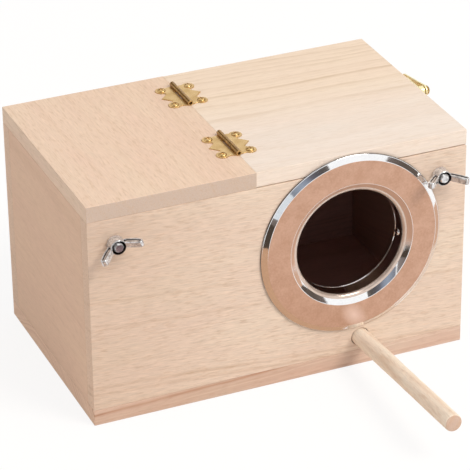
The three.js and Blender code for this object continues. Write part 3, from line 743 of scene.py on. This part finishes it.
def makeWingNut(look):
    height, sink, thick, deep = look["height"], look["sinkRadius"], look["thick"], look["pocket"]
    cast = newPiece("wing_nut_cast", spin("wing_nut", eased([
        (0, 0), (look["baseRadius"], 0, 0.3), (look["baseRadius"], look["baseLand"], 0.5),
        (look["topRadius"], height, 0.5), (0, height),
    ], 4), 64))
    ears = []
    for side in (0, math.pi):
        upright = Matrix.Rotation(side, 4, "Z") @ Matrix.Rotation(math.pi / 2, 4, "X")
        mesh = plate("ear", [earOutline(look, 0)], thick, look["earEdge"])
        ear = newPiece("ear", mesh, place=upright @ at(0, 0, -thick / 2))
        pockets = []
        for face in (-1, 1):
            mesh = plate("pocket", [earOutline(look, look["rim"])], 2 * deep, look["pocketEdge"])
            pockets.append(newPiece("pocket", mesh, place=upright @ at(0, 0, face * thick / 2 - deep)))
        combine(ear, pockets)
        ears.append(ear)
    combine(cast, ears, "UNION")
    melt = cast.modifiers.new("melt", "REMESH")
    melt.mode, melt.voxel_size = "VOXEL", look["voxel"] * mm
    polish = cast.modifiers.new("polish", "SMOOTH")
    polish.factor, polish.iterations = look["polish"]
    bake(cast)
    bore, above = bolts["hole"], look["rise"] + 1
    combine(cast, [newPiece("bore", spin("bore", [
        (0, -1), (bore, -1), (bore, height - look["sinkDeep"]), (sink, height - 0.1),
        (sink, above), (0, above),
    ], 64))])
    mesh = cast.data
    bpy.data.objects.remove(cast)
    return shadedInHollows(mesh, look)


def shadedInHollows(mesh, look):
    # painted shade: darker where the surface is hollow, and all round the bolt
    bm = bmesh.new()
    bm.from_mesh(mesh)
    layer = bm.verts.layers.float.new("dirt")
    for v in bm.verts:
        around = [e.other_vert(v).co for e in v.link_edges]
        hollow = (sum(around, Vector()) / len(around) - v.co).dot(v.normal) / mm
        inBore = v.co.xy.length < look["sinkRadius"] * 1.01 * mm
        v[layer] = 1 if inBore else min(1, max(0, (hollow - look["hollow"][0]) / look["hollow"][1]))
    for _ in range(look["spread"]):
        spread = {v: sum(e.other_vert(v)[layer] for e in v.link_edges) / len(v.link_edges)
                  for v in bm.verts}
        for v, value in spread.items():
            v[layer] = max(v[layer], value)
    bm.to_mesh(mesh)
    bm.free()
    return mesh


def makeHangers(boltLook, nutLook):
    boltMesh, nutMesh = makeBolt(boltLook), makeWingNut(nutLook)
    zinc = metals["bright zinc"]
    for side, place in boltLook["places"].items():
        mesh = boltMesh.copy()
        bolt = newPiece(f"hanging_bolt_{side}_zinc", mesh, zinc, metals[boltLook["ends"][side]])
        for face in mesh.polygons:
            face.material_index = int(face.normal.z > 0.9 and face.center.z > 0)
        mesh.transform(onFront @ at(*place, 0))
        settle(bolt, "box", "zinc_steel", f"hanging_bolt_{side}", angle=50)
        turn = Matrix.Rotation(math.radians(nutLook["turns"][side]), 4, "Z")
        stand = onFront @ at(*place, nutLook["off"]) @ turn
        nut = newPiece(f"wing_nut_{side}_zinc", nutMesh.copy(), zinc, place=stand)
        settle(nut, f"wing_nut_{side}", "zinc_steel", f"wing_nut_{side}")


makeHangers(bolts, wingNut)
print("bolts and wing nuts made")


# Hinges: a butterfly leaf each side of a rolled barrel
hinges = {
    "axis": -13.3, "along": {"front": -27.3, "back": 34}, "length": 25, "thick": 0.5, "edge": 0.16,
    "knuckle": 1.4, "knuckleEase": 0.15, "bore": 0.9, "boreCut": 1.0, "pin": 0.6, "pinIn": 0.8,
    "middle": 9.4, "gap": 0.3, "hole": 1.3, "screwOut": 7.2, "screwAlong": 9, "lobe": 3.3, "tip": 10.6,
    "neckShares": (0.46, 0.87), "notch": (6.3, 4.7), "notchPull": 0.9, "tipPull": (0.8, 0.7),
}


def leafOutline(look):
    half, out, along = look["length"] / 2, look["screwOut"], look["screwAlong"]
    neckX, neckY = look["neckShares"][0] * out, look["neckShares"][1] * half
    x, y = look["notch"]
    pull, (pullX, pullY) = look["notchPull"], look["tipPull"]
    tip = (look["tip"], 0)
    lower = arc(out, -along, look["lobe"], -140, 70, 16)
    lowHalf = curved((0, -half), (neckX, -neckY), lower[0], 6)[:-1] + lower
    lowHalf += curved(lower[-1], (x + pull, -y - pull), (x, -y), 4)[1:]
    lowHalf += curved((x, -y), (pullX * x + (1 - pullX) * tip[0], -pullY * y), tip, 5)[1:]
    return lowHalf + [(x, -y) for x, y in reversed(lowHalf[:-1])]


def makeHinge(name, along, look):
    half, middle, r, bore = look["length"] / 2, look["middle"] / 2, look["knuckle"], look["bore"]
    inner, reach, ease = middle + look["gap"], r + look["gap"], look["knuckleEase"]
    barrel = at(0, 0, r) @ Matrix.Rotation(-math.pi / 2, 4, "X")
    place = onTop @ at(look["axis"], along, 0)
    holes = [roundHole(look["screwOut"], end * look["screwAlong"], look["hole"]) for end in (-1, 1)]
    brasses = metals["satin brass"], metals["barrel brass, painted dark"]
    for kind, body, turn, knuckles, reliefs in (
        ("fixed_leaf", "box", math.pi, [(-half, -inner), (inner, half)], [(-inner, inner)]),
        ("lid_leaf", "lid", 0, [(-middle, middle)], [(-half - 1, -middle), (middle, half + 1)]),
    ):
        mesh = plate("leaf", [leafOutline(look)] + holes, look["thick"], look["edge"])
        piece = newPiece(f"hinge_{name}_{kind}_brass", mesh, *brasses)
        cutters = [newPiece("relief", newMesh("relief", block((-3 * reach, start, -2), (reach, end, 2))))
                   for start, end in reliefs]
        cut = spin("bore", rod(look["boreCut"], -half - 1, half + 1), 32)
        cutters.append(newPiece("bore", cut, place=barrel))
        combine(piece, cutters)
        rolls = []
        for start, end in knuckles:
            mesh = spin("knuckle", eased([
                (bore, start), (r, start, ease), (r, end, ease), (bore, end), (bore, start),
            ], 3)[:-1], 40)
            rolls.append(newPiece("roll", mesh, *brasses, place=barrel))
            # the knuckles' round sides take the barrel brass, painted darker as their dark reflections
            for face in mesh.polygons:
                face.material_index = int(abs(face.normal.y) < 0.9)
        combine(piece, rolls, "UNION")
        piece.data.transform(place @ Matrix.Rotation(turn, 4, "Z"))
        settle(piece, body, "brass", f"hinge_{name}_{kind}")
    end, r = half - look["pinIn"], look["pin"]
    pin = spin("pin", eased([(0, -end), (r, -end, ease), (r, end, ease), (0, end)], 3), 24)
    piece = newPiece(f"hinge_{name}_pin_brass", pin, metals["barrel brass, painted dark"], place=place @ barrel)
    settle(piece, "box", "brass", f"hinge_{name}_pin", angle=50)


for side, along in hinges["along"].items():
    makeHinge(side, along, hinges)
print("hinges made")


# Latch on the right side: a hook that swings on a plate, and a keeper with a peg below it
latch = {
    "pivot": (-4.6, 116.5), "plateMiddle": -2.6, "length": 22, "width": 6.4, "thick": 0.8, "corner": 2.4,
    "edge": 0.2, "screwIn": 3.4, "hole": 1.3, "bore": 1.5, "bossRadius": 2.6, "bossHeight": 3, "gap": 0.3,
    "hookThick": 1, "hookEdge": 0.25, "hookReach": 22, "eye": 3, "droop": 10, "neck": 4, "neckTurn": 85,
    "lip": 2.2, "pegNeck": 1.2, "pegHead": 2, "pegHeadHeight": 1.1, "keeperLength": 18, "keeperWidth": 7,
}


def latchPlate(look, length, width, holes):
    x, y, corner = length / 2 - look["corner"], width / 2 - look["corner"], look["corner"]
    outline = []
    for cx, cy, start in ((x, -y, -90), (x, y, 0), (-x, y, 90), (-x, -y, 180)):
        outline += arc(cx, cy, corner, start, start + 90, 8)
    return plate("latch", [outline] + [roundHole(x, 0, r) for x, r in holes], look["thick"], look["edge"])


def makeLatch(look):
    brass, gap, thick = metals["latch brass, painted light"], look["gap"], look["thick"]
    hole, bore = look["hole"], look["bore"]
    pivotY, pivotZ = look["pivot"]
    pivot = onRight @ at(pivotY, pivotZ, 0)
    screwAt, onPlate = look["length"] / 2 - look["screwIn"], pivotY - look["plateMiddle"]
    holes = [(-screwAt, hole), (screwAt, hole), (onPlate, bore)]
    piece = newPiece("latch_plate_brass", latchPlate(look, look["length"], look["width"], holes), brass)
    top, bossRadius = thick + look["bossHeight"], look["bossRadius"]
    boss = spin("boss", eased([
        (bore, 0.05), (bossRadius + 0.4, 0.05), (bossRadius, 0.5 + thick, 0.4), (bossRadius, top, 0.25),
        (bore, top, 0.1), (bore, 0.05),
    ], 4)[:-1], 40)
    combine(piece, [newPiece("boss", boss, brass, place=at(onPlate, 0, 0))], "UNION")
    piece.data.transform(onRight @ at(look["plateMiddle"], pivotZ, 0))
    settle(piece, "lid", "brass", "latch_plate")

    # the hook: an eye, a tapering arm, a notch for the peg and a rounded end
    notch, reach, lipHalf = look["pegNeck"] + gap, look["hookReach"], look["lip"] / 2
    outline = arc(0, 0, look["eye"], look["neckTurn"], 360 - look["neckTurn"], 24)
    outline += [(reach - notch, -look["neck"] / 2)]
    outline += arc(reach, 0, notch, 180, 0, 12)
    outline += arc(reach + notch + lipHalf, -2 * notch, lipHalf, -180, 0, 8)
    outline += arc(reach, 0, notch + look["lip"], 0, 90, 10)
    hook = plate("hook", [outline, roundHole(0, 0, bore, 24)], look["hookThick"], look["hookEdge"])

    pegUp, keeperAt = pivotZ - reach, look["keeperLength"] / 2 - look["screwIn"]
    holes = [(x, hole) for x in (-keeperAt, 0, keeperAt)]
    keeper = latchPlate(look, look["keeperLength"], look["keeperWidth"], holes)
    neck, headRadius = look["pegNeck"], look["pegHead"]
    seat = top + gap + look["hookThick"] + gap - thick
    end = seat + look["pegHeadHeight"]
    peg = spin("peg", eased([
        (0, -6), (1, -4.2), (1, 0), (neck, 0), (neck, seat), (headRadius, seat, 0.2),
        (headRadius, seat + 0.5, 0.4), (neck, end, 0.3), (0, end),
    ], 4), 32)

    droop = Matrix.Rotation(-math.radians(look["droop"]), 4, "Z")
    upright = Matrix.Rotation(math.pi / 2, 4, "Z")
    foot = onRight @ at(pivotY, pegUp, 0)
    for name, body, mesh, place in (
        ("latch_hook", "latch_hook", hook, pivot @ at(0, 0, top + gap) @ droop),
        ("keeper_plate", "box", keeper, foot @ upright),
        ("keeper_peg", "box", peg, foot @ at(0, 0, thick)),
    ):
        settle(newPiece(f"{name}_brass", mesh, brass, place=place), body, "brass", name)


makeLatch(latch)
print("latch made")


# Round-head screws and tacks, one tree for all. Each point of the holding mesh is a seat.
def screwTree():
    tree = bpy.data.node_groups.new("round-head fasteners", "GeometryNodeTree")
    kinds = {"Seats": "Geometry", "Seed": "Int", "Material": "Material"}
    for name in ("Seats", *fasteners["tack"], "Seed", "Material"):
        kind = kinds.get(name, "Float")
        tree.interface.new_socket(name, in_out="INPUT", socket_type=f"NodeSocket{kind}")
    tree.interface.new_socket("Fasteners", in_out="OUTPUT", socket_type="NodeSocketGeometry")
    add = partial(put, tree)
    given = add("NodeGroupInput").outputs
    headRadius, headHeight, length = given["Head Radius"], given["Head Height"], given["Length"]

    # the head: a ball flattened below its seat
    ball = add("GeometryNodeMeshUVSphere", {"Segments": 32, "Rings": 16, "Radius": 1.0})
    size = add("CombineXYZ", [headRadius, headRadius, headHeight])
    ball = add("GeometryNodeTransform", {0: ball, "Scale": size})
    axes = add("SeparateXYZ", [add("GeometryNodeInputPosition")]).outputs
    above = add("Math", [axes["Z"], 0.0], operation="MAXIMUM")
    seated = add("CombineXYZ", [axes["X"], axes["Y"], above])
    head = add("GeometryNodeSetPosition", {0: ball, "Position": seated})
    head = add("GeometryNodeMergeByDistance", {0: head, "Distance": 0.000002})

    # the shank, drawn in to its point, reaching a little into the head
    shank = add("GeometryNodeMeshCylinder", {
        "Vertices": 20, "Side Segments": 20, "Radius": given["Shank Radius"], "Depth": length,
    })
    down = add("CombineXYZ", {2: add("Math", [length, -0.47], operation="MULTIPLY")})
    shank = add("GeometryNodeTransform", {0: shank, "Translation": down})
    fromTip = add("Math", [axes["Z"], length], operation="ADD")
    share = add("Math", [fromTip, given["Point"]], operation="DIVIDE")
    share = add("Clamp", [share, 0.08, 1.0])
    thin = [add("Math", [axes[axis], share], operation="MULTIPLY") for axis in "XY"]
    thin = add("CombineXYZ", [*thin, axes["Z"]])
    shank = add("GeometryNodeSetPosition", {0: shank, "Position": thin})
    whole = add("GeometryNodeMeshBoolean", {"Mesh 2": [head, shank]}, operation="UNION", solver="EXACT")

    # a cross in the head
    cross = []
    wide = given["Slot Width"]
    arm = add("Math", [headRadius, 1.25], operation="MULTIPLY")
    deep = add("Math", [given["Slot Deep"], 2.0], operation="MULTIPLY")
    high = add("CombineXYZ", {2: headHeight})
    for x, y in ((arm, wide), (wide, arm)):
        bar = add("GeometryNodeMeshCube", {"Size": add("CombineXYZ", [x, y, deep])})
        cross.append(add("GeometryNodeTransform", {0: bar, "Translation": high}))
    slotted = add("GeometryNodeMeshBoolean", {"Mesh 1": whole, "Mesh 2": cross},
                  operation="DIFFERENCE", solver="EXACT")
    isSlotted = add("FunctionNodeCompare", [wide, 0.0], operation="GREATER_THAN")
    fastener = add("GeometryNodeSwitch", [isSlotted, whole, slotted], input_type="GEOMETRY")

    # each stands on its seat, turned at random
    normal = add("GeometryNodeInputNamedAttribute", {"Name": "seatNormal"}, data_type="FLOAT_VECTOR")
    stand = add("FunctionNodeAlignRotationToVector", {"Vector": normal}, axis="Z")
    chance = add("FunctionNodeRandomValue", {3: math.tau, 8: given["Seed"]}, data_type="FLOAT")
    about = add("FunctionNodeAxisAngleToRotation", {"Axis": (0, 0, 1), "Angle": chance})
    turned = add("FunctionNodeRotateRotation", [stand, about], rotation_space="LOCAL")
    placed = add("GeometryNodeInstanceOnPoints", {
        "Points": given["Seats"], "Instance": fastener, "Rotation": turned,
    })
    real = add("GeometryNodeRealizeInstances", {0: placed})
    add("NodeGroupOutput", [add("GeometryNodeSetMaterial", {0: real, "Material": given["Material"]})])
    return tree


fasteners = {
    "wood screw": {"Head Radius": 2.1, "Head Height": 1, "Shank Radius": 1, "Length": 6, "Point": 1.8,
                   "Slot Width": 0.55, "Slot Deep": 0.5},
    "pivot screw": {"Head Radius": 2.5, "Head Height": 1.8, "Shank Radius": 1.2, "Length": 11.4,
                    "Point": 1.8, "Slot Width": 0.7, "Slot Deep": 0.7},
    "tack": {"Head Radius": 2.1, "Head Height": 1, "Shank Radius": 0.6, "Length": 5, "Point": 1.25,
             "Slot Width": 0, "Slot Deep": 0},
}
sets = [
    ("hinge_and_keeper_screws", "box", "wood screw", "satin brass", "brass", 5, [
        "hinge_front_screw_1", "hinge_front_screw_2", "hinge_back_screw_1", "hinge_back_screw_2",
        "keeper_screw_lower", "keeper_screw_upper"]),
    ("hinge_and_latch_screws", "lid", "wood screw", "satin brass", "brass", 8, [
        "hinge_front_screw_3", "hinge_front_screw_4", "hinge_back_screw_3", "hinge_back_screw_4",
        "latch_plate_screw_front", "latch_plate_screw_back"]),
    ("latch_pivot_screw_brass", "lid", "pivot screw", "satin brass", "brass", 2, ["latch_pivot_screw"]),
    ("ring_tacks", "box", "tack", "mirror steel", "tack_steel", 1, ["ring_tack_1", "ring_tack_2"]),
]


def seatOf(name, sizes):
    # the seat lies under the head, at the end of the node's box that faces out
    low, high = (Vector(corner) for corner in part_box(name))
    middle = (low + high) / 2
    if name.startswith("ring_tack"):
        centre = Vector((ring["place"][0] * mm, middle.y, ring["place"][1] * mm))
        normal = (centre - middle).normalized()
        throat = ring["flatInner"] - ring["innerBevel"] - ring["lip"]
        return centre - normal * (throat - 0.05) * mm, normal
    axis = 2 if name.startswith("hinge") else 0
    normal = Vector([float(k == axis) for k in range(3)])
    middle[axis] = high[axis] - sizes["Head Height"] * mm
    return middle, normal


def makeFasteners():
    tree = screwTree()
    sockets = {item.name: item.identifier for item in tree.interface.items_tree if item.in_out == "INPUT"}
    for name, body, kind, metal, slot, seed, replaced in sets:
        sizes = fasteners[kind]
        seats = [seatOf(node, sizes) for node in replaced]
        mesh = bpy.data.meshes.new(name)
        mesh.from_pydata([tuple(place) for place, _ in seats], [], [])
        mesh.attributes.new("seatNormal", "FLOAT_VECTOR", "POINT")
        for value, (_, normal) in zip(mesh.attributes["seatNormal"].data, seats):
            value.vector = normal
        piece = newPiece(name, mesh)
        maker = piece.modifiers.new("fasteners", "NODES")
        maker.node_group = tree
        for label, size in sizes.items():
            maker[sockets[label]] = size * mm
        maker[sockets["Seed"]] = seed
        maker[sockets["Material"]] = metals[metal]
        bake(piece)
        settle(piece, body, slot, *replaced)


makeFasteners()
print("screws and tacks made")


# Studio: a white floor and room, one soft lamp from the upper right, and cards that show
# only in reflections. A card is (from, to) in degrees to the right of straight ahead, and
# up, with its colours from left to right. Lengths are in m, but in mm where it says so.
studio = {
    "fill": 0.63,       # the room's light on the object
    "lampPower": 50.0, "lampSize": 1.4, "lampPlace": (1.2, -1.68, 2.32), "lampTarget": (0, 0, 0.06),
    "lampColour": "fffaf2", "floorPaint": "ece8e4", "floorGlow": 1.06, "floorHalf": 6,
    "floorShare": 0.8,  # how much of the floor's white is its own, for the eye and for metal
    "floorDrop": 0.05, "sheetHeight": 0.2,  # mm
    "cardReach": 1.7, "cardSteps": (16, 6),
    "cards": [
        ("dark card, right", ["746863", "5f544d", "645952", "6e625b", "5c514a"], (51, 92), (-2.1, 60)),
        ("dark card, middle", ["6a686f", "5c595d", "57524f", "6a625d"], (-8, 6.5), (20, 60)),
        ("blue card, middle", ["7b7b84", "8b919c", "9aa3b2", "8c93a1", "6f6f7a"], (-23.8, -8), (6, 60)),
        ("dark card, left", ["463c34", "4b4138", "554a43", "5f544e", "685d58", "70655f", "8e8481"],
         (-82, -25), (-2.1, 60)),
        ("dark card, behind", ["5a4a36"] * 2, (95, 146), (0, 24)),
        ("dark card, behind left", ["5a4a36"] * 2, (-178, -152), (6, 60)),
    ],
    "sheets": [  # flat, with their corners in mm; without a height they lie on the floor
        ("dark sheet, left", "4a4038", [
            (-330, -274), (-30, -233), (-100, -330), (-620, -1560), (-1160, -1420)]),
        ("dark sheet, right", "5a4f48", [(455, -165), (415, -205), (1560, -790), (1690, -560)]),
        ("tan sheet", "c79c7c", [
            (-300, -60.2), (84, -60.2), (82, -84), (70, -106), (54, -128), (36, -152), (12, -184),
            (-28, -233), (-330, -274)]),
        ("peach sheet, right", "d2a98f", [
            (101, -20), (290, -38), (298, -80), (455, -164), (415, -204), (240, -130), (150, -90),
            (101, -64)]),
        ("pale strip, left", "dde2e7", [
            (-154, -406, 234), (-120, -428, 209), (-198, -412, 92), (-232, -390, 118)]),
    ],
}


def unseen(name, bm, codes):
    # only reflections meet it. Its colours run along its own attribute.
    material, add = newMaterial(name)
    across = add("Attribute", attribute_name="across").outputs["Fac"]
    colours = add("ValToRGB", [across])
    fillRamp(colours, [(k / (len(codes) - 1), linear(code)) for k, code in enumerate(codes)])
    add("OutputMaterial", [add("Emission", [colours, 1.0])])
    card = newPiece(name, newMesh(name, bm), material)
    for kind in ("camera", "diffuse", "transmission", "volume_scatter", "shadow"):
        setattr(card, f"visible_{kind}", False)


def addCards(look):
    middle = Vector((ring["place"][0] * mm, -0.06, 0.06))
    columns, rows = look["cardSteps"]
    for name, codes, (left, right), (low, high) in look["cards"]:
        bm = bmesh.new()
        across = bm.verts.layers.float.new("across")
        lines = []
        for row in range(rows + 1):
            up = math.radians(low + (high - low) * row / rows)
            lines.append([])
            for k in range(columns + 1):
                way = math.radians(left + (right - left) * k / columns)
                spot = Vector((math.sin(way) * math.cos(up), -math.cos(way) * math.cos(up), math.sin(up)))
                lines[-1].append(bm.verts.new(middle + spot * look["cardReach"]))
                lines[-1][-1][across] = k / columns
        for under, over in zip(lines, lines[1:]):
            for k in range(columns):
                bm.faces.new((under[k], under[k + 1], over[k + 1], over[k]))
        unseen(name, bm, codes)
    for name, code, corners in look["sheets"]:
        bm = bmesh.new()
        corners = [(*corner, look["sheetHeight"])[:3] for corner in corners]
        bm.faces.new([bm.verts.new([c * mm for c in corner]) for corner in corners])
        unseen(name, bm, [code, code])


def seen(add):
    # 1 where the eye looks, straight, by reflection or through something, and 0 for light on the object
    ray = add("LightPath").outputs
    share = add("Math", [ray["Is Camera Ray"], ray["Is Glossy Ray"]], operation="MAXIMUM")
    return add("Math", [share, ray["Is Transmission Ray"]], operation="MAXIMUM")


def addStudio(look):
    world = bpy.data.worlds.new("white room")
    scene.world = world
    world.use_nodes = True
    world.node_tree.nodes.clear()
    add = partial(put, world.node_tree)
    toObject, toEye = (add("Background", [(1, 1, 1, 1), strength]) for strength in (look["fill"], 1.0))
    add("OutputWorld", [add("MixShader", [seen(add), toObject, toEye])])

    lamp = bpy.data.lights.new("soft lamp", "AREA")
    lamp.shape, lamp.size, lamp.energy = "DISK", look["lampSize"], look["lampPower"]
    lamp.color = linear(look["lampColour"])[:3]
    stand = bpy.data.objects.new("soft lamp", lamp)
    scene.collection.objects.link(stand)
    stand.location = look["lampPlace"]
    aim = Vector(look["lampTarget"]) - stand.location
    stand.rotation_euler = aim.to_track_quat("-Z", "Y").to_euler()

    floor, add = newMaterial("white floor")
    paint = add("BsdfDiffuse", [linear(look["floorPaint"])])
    glow = add("Emission", [(1, 1, 1, 1), look["floorGlow"]])
    share = add("Math", [seen(add), look["floorShare"]], operation="MULTIPLY")
    add("OutputMaterial", [add("MixShader", [share, paint, glow])])
    bm = bmesh.new()
    bmesh.ops.create_grid(bm, x_segments=1, y_segments=1, size=look["floorHalf"])
    newPiece("floor", newMesh("floor", bm), floor, place=at(0, 0, -look["floorDrop"]))


addCards(studio)
addStudio(studio)
scene.view_settings.view_transform = "Standard"
print("studio set")
